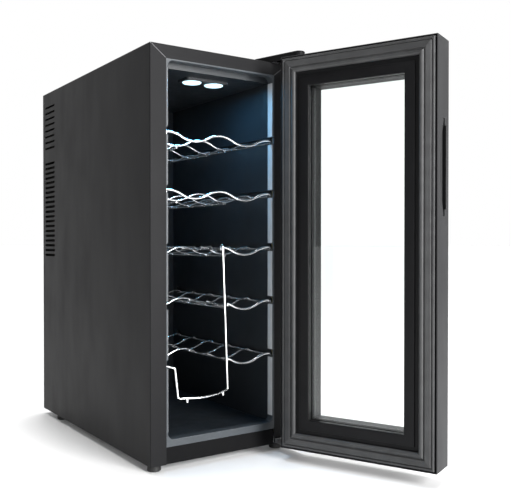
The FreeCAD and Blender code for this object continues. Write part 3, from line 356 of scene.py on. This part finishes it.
def make_gasket():
    """Magnetic seal: outer lip, broad flat band and a soft round bellows, with welded mitres."""
    bead = [(22.9 - 3.7 * math.cos(a), -0.9 - 2.8 * math.sin(a), 0)
            for a in (math.pi * step / 10 for step in range(11))]
    lip = [(3.8, 0, 0), (3.8, -2.75, 0.9), (6.9, -2.75, 0.9), (7.4, -0.9, 0.4), (8.3, -0.9, 0.4)]
    band = [(8.7, -3.2, 0.8), (12.8, -3.05, 2.0), (17.4, -3.2, 0.8), (17.9, -0.8, 0.4)]
    corners = lip + band + bead + [(26.8, 0, 0)]
    mitred_ring("gasket_seal", rounded(scaled(corners)), "gasket_rubber", 0.2 * MM, ["door_gasket"])


def make_inner_frame():
    """Moulded frame round the glass with a shadow groove beside the seal."""
    corners = [(3.6, 0.05, 0), (26.6, 0.05, 0.3), (27.2, 2.9, 0.5), (33.2, 2.9, 0.5), (33.7, 0.05, 0.6),
               (49.0, 0.05, 1.2), (48.8, 9.35, 0.2), (46, 9.35, 0), (46, 6, 0), (6, 6, 0), (6, 9.35, 0),
               (3.6, 9.35, 0)]
    mitred_ring("inner_frame_moulding", rounded(scaled(corners)), "black_plastic", 0, ["door_inner_frame"])


def make_spacer_strip():
    """Dark edge bar between the panes, with two rows of breather holes that show the pale drying beads."""
    corners = [(48.0, 18.6, 0), (49.15, 18.6, 0.2), (49.3, 19.4, 0.2), (49.3, 25.2, 0.2), (49.15, 26.0, 0.2),
               (48.0, 26.0, 0)]
    strip = mitred_ring("spacer_bar", rounded(scaled(corners), 3), "spacer_metal")
    strip.data.materials[0] = plastic("spacer_bar_black", (0.012, 0.012, 0.013), 0.45, 0.2)
    mesh = bmesh.new()
    pitch = 3.2 * MM                            # hole to hole
    inset = 49.32 * MM                          # door edge to the bar's face
    width = DOOR_HIGH.x - DOOR_LOW.x - 2 * inset
    height = DOOR_HIGH.z - DOOR_LOW.z - 2 * inset
    for depth in (21.2 * MM, 23.4 * MM):
        y = DOOR_HIGH.y - depth
        for side in (-1, 1):
            x = (DOOR_HIGH.x - inset) if side > 0 else (DOOR_LOW.x + inset)
            for step in range(1, int(height / pitch)):
                dot(mesh, Vector((x, y, DOOR_LOW.z + inset + step * pitch)), Vector((-side, 0, 0)))
            z = (DOOR_HIGH.z - inset) if side > 0 else (DOOR_LOW.z + inset)
            for step in range(1, int(width / pitch)):
                dot(mesh, Vector((DOOR_LOW.x + inset + step * pitch, y, z)), Vector((0, 0, -side)))
    finished("spacer_breather_holes", mesh, "spacer_metal", "door", DOOR_PLACE,
             material=plastic("drying_beads", (0.3, 0.3, 0.29), 0.6))


def dot(mesh, centre, facing, radius=0.55 * MM):
    """Tiny dished disc that faces one way."""
    turn = facing.to_track_quat("Z", "Y").to_matrix().to_4x4()
    spots = []
    for step in range(8):
        angle = math.tau * step / 8
        rim = Vector((radius * math.cos(angle), radius * math.sin(angle), 0))
        spots.append(mesh.verts.new(centre + turn @ rim))
    middle = mesh.verts.new(centre - facing * 0.15 * MM)
    for step in range(8):
        mesh.faces.new((spots[step], spots[(step + 1) % 8], middle))


def make_glass_print():
    """Black enamel border printed on the inside of the outer pane."""
    near, far = GLASS_BACK - 0.085 * MM, GLASS_BACK - 0.03 * MM
    outline = [Vector(p) for p in ((2.2 * MM, near), (47.6 * MM, near), (47.6 * MM, far), (2.2 * MM, far))]
    border = mitred_ring("glass_enamel_border", outline, "black_plastic")
    border.data.materials[0] = enamel()


def enamel():
    """Black ceramic ink behind the glass, with almost no gloss of its own."""
    material, tree, shader = new_material("glass_enamel")
    tree.links.new(blend_colours(tree, noise(tree, 0.02, 3), (0.003, 0.003, 0.0032), (0.005, 0.005, 0.0053)),
                   shader.inputs["Base Color"])
    tree.links.new(spread(tree, noise(tree, 0.004, 3), 0.18, 0.26), shader.inputs["Roughness"])
    shader.inputs["Specular IOR Level"].default_value = 0.02
    relief(tree, shader, [(noise(tree, 0.0012, 2), 0.000004)])
    return material


make_gasket()
make_inner_frame()
make_spacer_strip()
make_glass_print()


# ---------------------------------------------------------------- cabinet details

FRONT = -239.5              # front plane of the cabinet, mm
MOUTH_HALF = 96.5           # half width of the mouth, mm
SHELF_LEVELS = [510 - 87.5 * level for level in range(5)]       # heights of the shelves' crests, mm
TRIM_LOW, TRIM_HIGH = 57.5, 604.5                               # ends of the pale strips, mm
GROOVE = (-6.2, 7.0)                                            # gap in the strips about a crest, mm


def plate(mesh, low, high, soft, segments=3):
    """Add a block between two corners in millimetres, with softened edges."""
    block = bmesh.new()
    bmesh.ops.create_cube(block, size=1)
    for vertex in block.verts:
        for axis in range(3):
            vertex.co[axis] = (low[axis] + high[axis] + 2 * vertex.co[axis] * (high[axis] - low[axis])) / 2
    bmesh.ops.bevel(block, geom=list(block.edges), offset=soft, segments=segments, profile=0.5,
                    affect="EDGES")
    block.transform(Matrix.Scale(MM, 4))
    scrap = bpy.data.meshes.new("scrap")
    block.to_mesh(scrap)
    block.free()
    mesh.from_mesh(scrap)
    bpy.data.meshes.remove(scrap)


def make_pale_strips_painted_light():
    """Pale strips on the two sides of the mouth, broken where the shelf rails run in: partly a pale trim, partly
    painted light that makes the collar's side faces paler than its darker front and underside.
    """
    mesh = bmesh.new()
    gaps = [level + shift for level in reversed(SHELF_LEVELS) for shift in GROOVE]
    stops = [TRIM_LOW] + gaps + [TRIM_HIGH]
    for side in (-1, 1):
        outer, inner = side * (MOUTH_HALF - 0.02), side * (MOUTH_HALF - 0.42)
        for low, high in zip(stops[::2], stops[1::2]):
            plate(mesh, (min(outer, inner), FRONT + 1.1, low), (max(outer, inner), FRONT + 13.8, high), 0.15)
    # Pale strip colour: partly the trim's own colour, partly painted light on the lit side faces of the mouth.
    finished("collar_pale_strips_painted_light", mesh, "collar_plastic", "cabinet", material=plastic(
        "pale_trim_and_painted_light", (0.46, 0.475, 0.485), 0.42, grain=0.000012))


def make_corner_seams():
    """Slightly raised beads along the mitres where the side flanges of the wrap meet the top flange; their lighter
    paint is a painted highlight along each seam.
    """
    outer_end = (125.6, 637.6)                  # distance from the centre line and height, mm
    inner_end = (100.2, 618.2)
    half_width, height = 0.42, 0.16
    for side, name in ((-1, "left"), (1, "right")):
        mesh = bmesh.new()
        rings = []
        for x, z in (outer_end, inner_end):
            ring = []
            for step in range(8):
                angle = math.tau * step / 8
                across = half_width * math.cos(angle)
                y = FRONT - 0.02 + height * math.sin(angle)
                ring.append(mesh.verts.new(Vector((side * (x + across * 0.6), y, z - across * 0.8)) * MM))
            rings.append(ring)
        for step in range(8):
            nxt = (step + 1) % 8
            mesh.faces.new((rings[0][step], rings[0][nxt], rings[1][nxt], rings[1][step]))
        for ring in rings:
            mesh.faces.new(ring)
        # Lighter paint on the beads: a painted highlight along each mitre seam.
        finished("corner_seam_highlight_" + name, mesh, "cabinet_paint", "cabinet",
                 material=painted("seam_highlight_paint", (0.1, 0.1, 0.105), 0.35, 0.3))


def make_pull_edge():
    """Dark bowed strip along the inner edge of the recess beside the finger pull, on the door's free side: a
    painted shadow line along the recess's bowed step.
    """
    low, high = 390.0, 508.5                    # ends of the pull, mm
    half = (high - low) / 2 + 10                # half length of the recess, mm
    bulge = 12.0                                # rise of its bowed edge, mm
    radius = (half * half + bulge * bulge) / (2 * bulge)
    middle = (low + high) / 2
    centre_depth = 10.5 + radius
    reach = math.asin((half - 0.5) / radius)
    corners = ((0.1, 0.15), (0.1, 3.2), (2.3, 3.2), (2.3, 0.15))   # depth in the side, distance from the bow
    mesh = bmesh.new()
    rows = []
    for step in range(49):
        angle = reach * (step / 24 - 1)
        row = []
        for inward, size in corners:
            depth = centre_depth - (radius - size) * math.cos(angle)
            row.append(mesh.verts.new((DOOR_LOW.x + inward * MM, DOOR_HIGH.y - depth * MM,
                                       (middle + (radius - size) * math.sin(angle)) * MM)))
        rows.append(row)
    for first, second in zip(rows, rows[1:]):
        for spot in range(4):
            nxt = (spot + 1) % 4
            mesh.faces.new((first[spot], first[nxt], second[nxt], second[spot]))
    mesh.faces.new(rows[0])
    mesh.faces.new(rows[-1])
    # Black strip standing in for the shadow along the recess's bowed edge: painted shadow.
    finished("finger_pull_shadow_line", mesh, "black_plastic", "door", DOOR_PLACE)


# Ends of each segment of a digit, in cells: x and z of the one end, then of the other.
SEGMENTS = {"a": (0, 2, 1, 2), "b": (1, 2, 1, 1), "c": (1, 1, 1, 0), "d": (0, 0, 1, 0),
            "e": (0, 1, 0, 0), "f": (0, 2, 0, 1), "g": (0, 1, 1, 1)}


def make_display_digits():
    """Two lit seven-segment digits that shine through the printed border of the outer pane."""
    near, far = GLASS_BACK - 0.022 * MM, GLASS_BACK - 0.008 * MM
    cell = 4.4 * MM                             # length of a segment
    bottom = 603.1 * MM
    mesh = bmesh.new()
    for left, lit in ((-121.5 * MM, "bc"), (-114.0 * MM, "abged")):
        for key in lit:
            x1, z1, x2, z2 = SEGMENTS[key]
            start = Vector((left + x1 * cell, bottom + z1 * cell))
            end = Vector((left + x2 * cell, bottom + z2 * cell))
            along = (end - start).normalized()
            across = Vector((-along.y, along.x)) * 0.42 * MM
            tip, shoulder = along * 0.35 * MM, along * 0.8 * MM
            spots = [start + tip, start + shoulder + across, end - shoulder + across, end - tip,
                     end - shoulder - across, start + shoulder - across]
            layers = [[mesh.verts.new((spot.x, DOOR_HIGH.y - depth, spot.y)) for spot in spots]
                      for depth in (near, far)]
            for layer in layers:
                mesh.faces.new(layer)
            for step in range(6):
                nxt = (step + 1) % 6
                mesh.faces.new((layers[0][step], layers[0][nxt], layers[1][nxt], layers[1][step]))
    finished("display_digits", mesh, "lens", "door", DOOR_PLACE,
             material=glowing("digit_glow", (0.25, 0.6, 1.0), 3.0))


make_pale_strips_painted_light()
make_display_digits()
make_corner_seams()
make_pull_edge()


# ---------------------------------------------------------------- studio

def make_floor():
    """Pale floor that runs out to the horizon."""
    mesh = bmesh.new()
    bmesh.ops.create_grid(mesh, x_segments=1, y_segments=1, size=60)
    data = bpy.data.meshes.new("floor")
    mesh.to_mesh(data)
    mesh.free()
    material, tree, shader = new_material("floor")
    tree.links.new(blend_colours(tree, noise(tree, 0.6, 3), (0.86, 0.86, 0.86), (0.88, 0.88, 0.88)),
                   shader.inputs["Base Color"])
    tree.links.new(spread(tree, noise(tree, 0.2, 3), 0.5, 0.6), shader.inputs["Roughness"])
    data.materials.append(material)
    floor = bpy.data.objects.new("floor", data)
    scene.collection.objects.link(floor)


def make_world():
    """Soft surroundings: bright towards the back right, dim elsewhere, pure white where seen directly."""
    world = bpy.data.worlds.new("studio")
    scene.world = world
    world.use_nodes = True
    tree = world.node_tree
    direction = tree.nodes.new("ShaderNodeTexCoord")
    towards = tree.nodes.new("ShaderNodeVectorMath")
    towards.operation = "DOT_PRODUCT"
    towards.inputs[1].default_value = Vector((0.52, 0.8, 0.32)).normalized()
    fade = tree.nodes.new("ShaderNodeMapRange")
    fade.interpolation_type = "SMOOTHSTEP"
    for name, value in (("From Min", 0.05), ("From Max", 0.95), ("To Min", 0.12), ("To Max", 1.25)):
        fade.inputs[name].default_value = value
    path = tree.nodes.new("ShaderNodeLightPath")
    seen = tree.nodes.new("ShaderNodeMix")
    seen.inputs["B"].default_value = 1.0
    tree.links.new(direction.outputs["Generated"], towards.inputs[0])
    tree.links.new(towards.outputs["Value"], fade.inputs["Value"])
    tree.links.new(path.outputs["Is Camera Ray"], seen.inputs["Factor"])
    tree.links.new(fade.outputs["Result"], seen.inputs["A"])
    tree.links.new(seen.outputs["Result"], tree.nodes["Background"].inputs["Strength"])
    tree.nodes["Background"].inputs["Color"].default_value = (1, 1, 1, 1)


def area_light(name, place, target, size, power, colour=(1, 1, 1)):
    """Rectangular lamp at a place, turned towards a target."""
    data = bpy.data.lights.new(name, "AREA")
    data.shape = "RECTANGLE"
    data.size, data.size_y = size
    data.energy = power
    data.color = colour
    lamp = bpy.data.objects.new(name, data)
    lamp.location = place
    lamp.rotation_euler = (Vector(target) - Vector(place)).to_track_quat("-Z", "Y").to_euler()
    scene.collection.objects.link(lamp)


def make_lights():
    """Overhead sun, two softboxes in front, and the cooler's own two lamps."""
    sun = bpy.data.lights.new("overhead", "SUN")
    sun.energy = 2.4
    sun.angle = math.radians(24)
    overhead = bpy.data.objects.new("overhead", sun)
    overhead.rotation_euler = Vector((-0.04, -0.1, -1)).to_track_quat("-Z", "Y").to_euler()
    scene.collection.objects.link(overhead)
    area_light("key_softbox", (0.35, -2.4, 0.8), (0, -0.24, 0.35), (0.9, 1.6), 110)
    area_light("fill_softbox", (-1.7, -1.5, 0.9), (0.1, -0.4, 0.35), (1.0, 1.4), 8)
    low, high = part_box("lamp_lenses")
    for x in (low.x + 15.5 * MM, high.x - 15.5 * MM):
        place = (x, (low.y + high.y) / 2, low.z - 1.5 * MM)     # just below each lens
        area_light("lamp_glow", place, (x, place[1], 0), (26 * MM, 26 * MM), 0.24, (0.12, 0.54, 1.0))


CAMERA_PLACE = Vector((-0.606455, -1.2105, 0.342639))
CAMERA_YAW = 34.549         # degrees to the right of +Y
CAMERA_PITCH = -0.582       # degrees above the horizontal
CAMERA_LENS = 51.36         # mm, on a sensor 36 mm wide


def make_camera():
    data = bpy.data.cameras.new("camera")
    data.sensor_width = 36
    data.lens = CAMERA_LENS
    camera = bpy.data.objects.new("camera", data)
    camera.location = CAMERA_PLACE
    camera.rotation_euler = (math.radians(90 + CAMERA_PITCH), 0, -math.radians(CAMERA_YAW))
    scene.collection.objects.link(camera)
    scene.camera = camera


make_floor()
make_world()
make_lights()
make_camera()
scene.view_settings.view_transform = "Standard"
